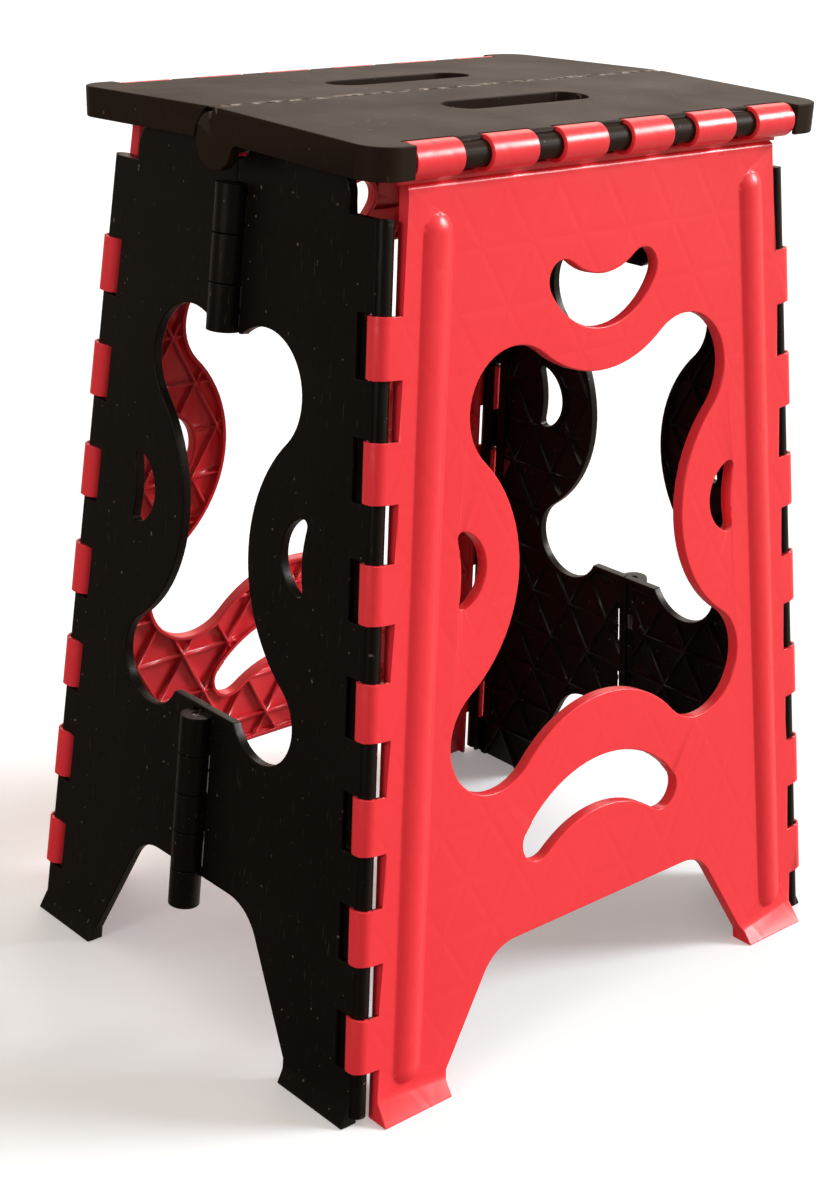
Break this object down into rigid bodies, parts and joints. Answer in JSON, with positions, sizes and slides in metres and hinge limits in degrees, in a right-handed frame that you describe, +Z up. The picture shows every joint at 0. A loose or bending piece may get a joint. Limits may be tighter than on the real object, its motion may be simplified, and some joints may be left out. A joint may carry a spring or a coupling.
{
  "type": "folding stool",
  "caption": "Folding step stool with two panel legs on hooked corner hinges, inward-folding side panels and a seat in two halves with carrying slots.",
  "frame": {"origin": "on the floor, under the middle of the open stool", "axes": "+Z up, X along the seat's fold, -Y towards the front leg"},
  "size_m": [0.3464, 0.291, 0.4529],
  "materials": {
    "leg_plastic": "smooth injection-moulded gloss",
    "black_plastic": "smooth injection-moulded, lightly scuffed",
    "steel": "drawn rod"
  },
  "bodies": {
    "leg_front": {"leg_front": "leg_plastic"},
    "leg_back": {"leg_back": "leg_plastic"},
    "seat_front": {"seat_front": "black_plastic", "seat_pin": "steel"},
    "seat_back": {"seat_back": "black_plastic"},
    "side_left_front": {"side_left_front": "black_plastic", "pin_left_upper": "steel", "pin_left_lower": "steel"},
    "side_left_back": {"side_left_back": "black_plastic"},
    "side_right_front": {"side_right_front": "black_plastic"},
    "side_right_back": {"side_right_back": "black_plastic", "pin_right_upper": "steel", "pin_right_lower": "steel"}
  },
  "joints": [
    {"name": "fold_left", "type": "hinge", "parent": "side_left_front", "child": "side_left_back", "pos_m": [-0.15093, 0, 0.225], "axis": [0.087, 0, 0.9962], "range_deg": [0, 174]},
    {"name": "corner_left_front", "type": "hinge", "parent": "leg_front", "child": "side_left_front", "pos_m": [-0.1425, -0.113, 0.225], "axis": [-0.0804, -0.0844, -0.9932], "range_deg": [0, 87.4]},
    {"name": "corner_left_back", "type": "hinge", "parent": "side_left_back", "child": "leg_back", "pos_m": [-0.1425, 0.113, 0.225], "axis": [-0.0804, 0.0844, -0.9932], "range_deg": [0, 87.4]},
    {"name": "corner_right_front", "type": "hinge", "parent": "leg_front", "child": "side_right_front", "pos_m": [0.1425, -0.113, 0.225], "axis": [-0.0804, 0.0844, 0.9932], "range_deg": [0, 87.4]},
    {"name": "corner_right_back", "type": "hinge", "parent": "leg_back", "child": "side_right_back", "pos_m": [0.1425, 0.113, 0.225], "axis": [0.0804, 0.0844, -0.9932], "range_deg": [0, 87.4]},
    {"name": "seat_edge_front", "type": "hinge", "parent": "leg_front", "child": "seat_front", "pos_m": [0, -0.1035, 0.442], "axis": [1, 0, 0], "range_deg": [0, 76.7]},
    {"name": "seat_edge_back", "type": "hinge", "parent": "leg_back", "child": "seat_back", "pos_m": [0, 0.1035, 0.442], "axis": [-1, 0, 0], "range_deg": [0, 76.7]}
  ],
  "couplings": [
    {"joint": "corner_left_front", "follows": "fold_left", "ratio": 0.5022},
    {"joint": "corner_left_back", "follows": "fold_left", "ratio": 0.5022},
    {"joint": "corner_right_front", "follows": "fold_left", "ratio": 0.5022},
    {"joint": "corner_right_back", "follows": "fold_left", "ratio": 0.5022},
    {"joint": "seat_edge_front", "follows": "fold_left", "ratio": 0.4407},
    {"joint": "seat_edge_back", "follows": "fold_left", "ratio": 0.4407}
  ]
}
